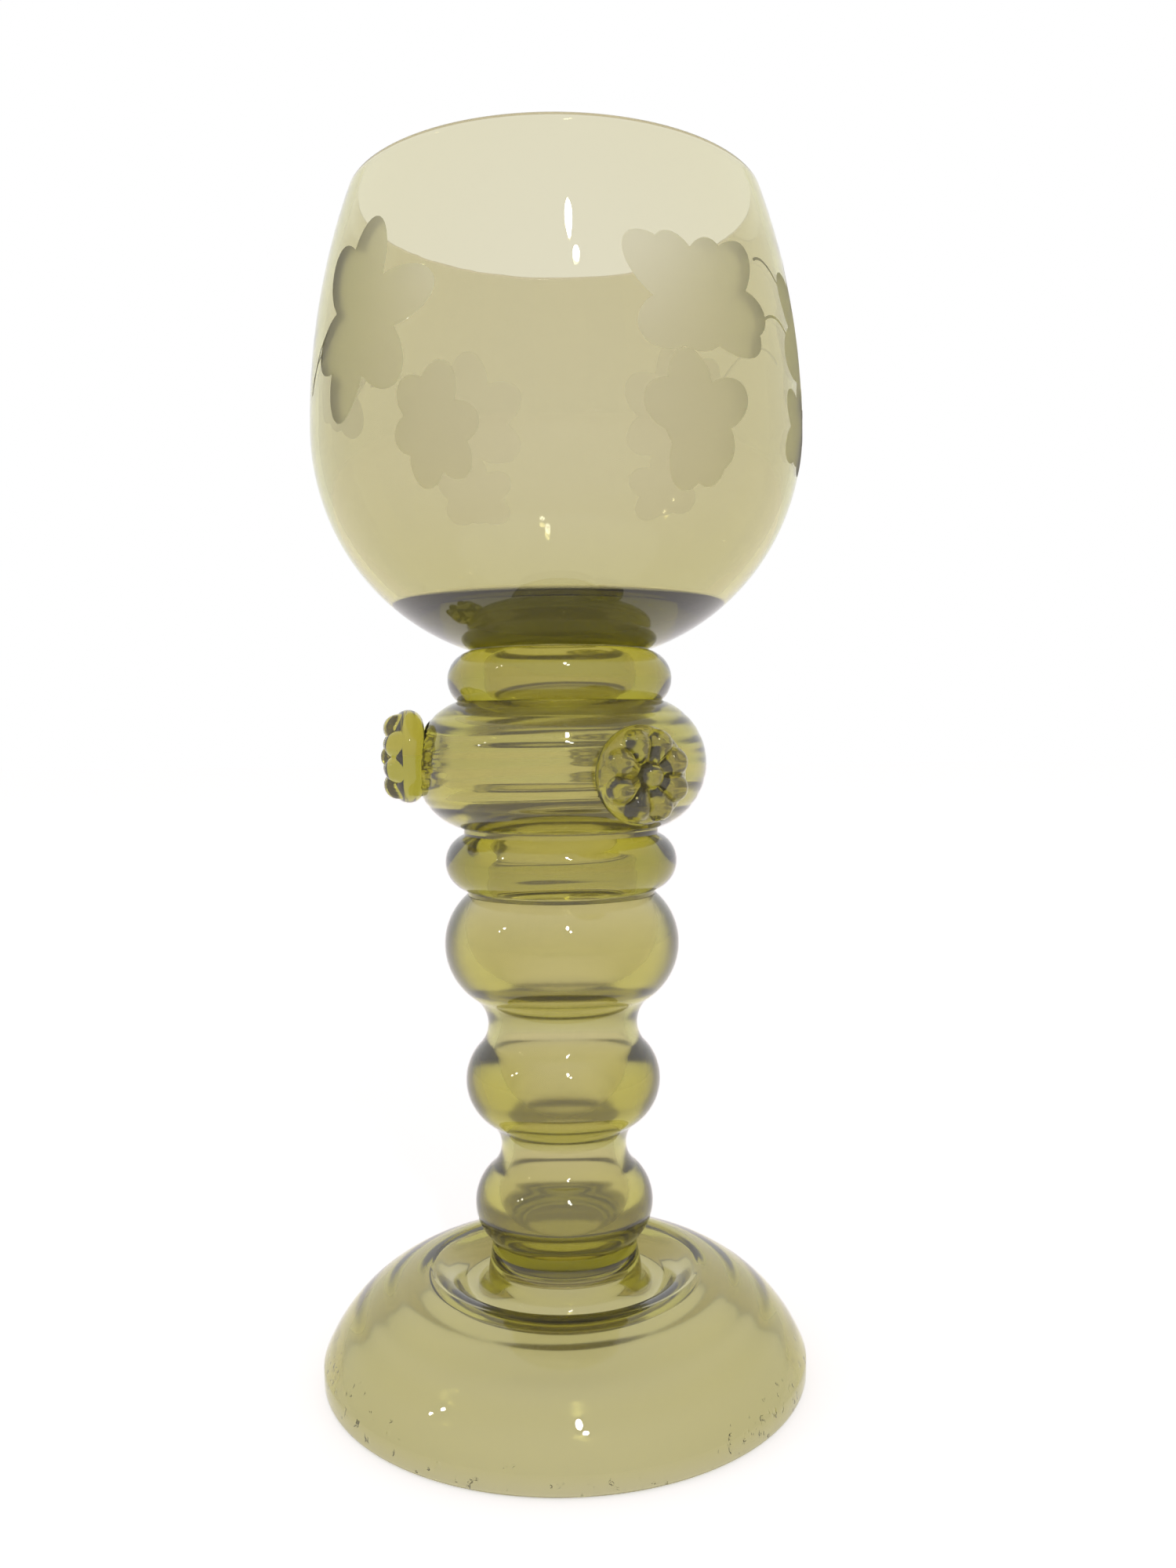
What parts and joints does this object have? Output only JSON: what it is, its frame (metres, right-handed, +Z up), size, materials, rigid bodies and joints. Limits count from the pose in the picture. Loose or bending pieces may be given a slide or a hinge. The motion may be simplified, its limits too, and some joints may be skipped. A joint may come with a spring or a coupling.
{
  "type": "roemer glass",
  "caption": "Olive-green roemer wine glass: rounded bowl on a hollow stem with collars, a prunted knop and a knopped baluster, standing on a domed foot.",
  "frame": {"origin": "on the axis of the glass, in the plane of the ground ring that the foot stands on", "axes": "+Z up the axis of the glass towards the rim, -Y towards the viewer of the picture, +X to the viewer's right"},
  "size_m": [0.0836, 0.0836, 0.2],
  "materials": {
    "bowl_glass": "blown, fire-polished, olive green",
    "stem_glass": "mould-blown, fire-polished, olive green",
    "foot_glass": "blown, fire-polished, olive green"
  },
  "bodies": {
    "root": {"bowl": "bowl_glass", "upper_collar": "stem_glass", "prunted_knop": "stem_glass", "lower_collar": "stem_glass", "baluster": "stem_glass", "foot": "foot_glass", "prunt_left": "stem_glass", "prunt_front": "stem_glass", "prunt_rear": "stem_glass"}
  },
  "joints": []
}
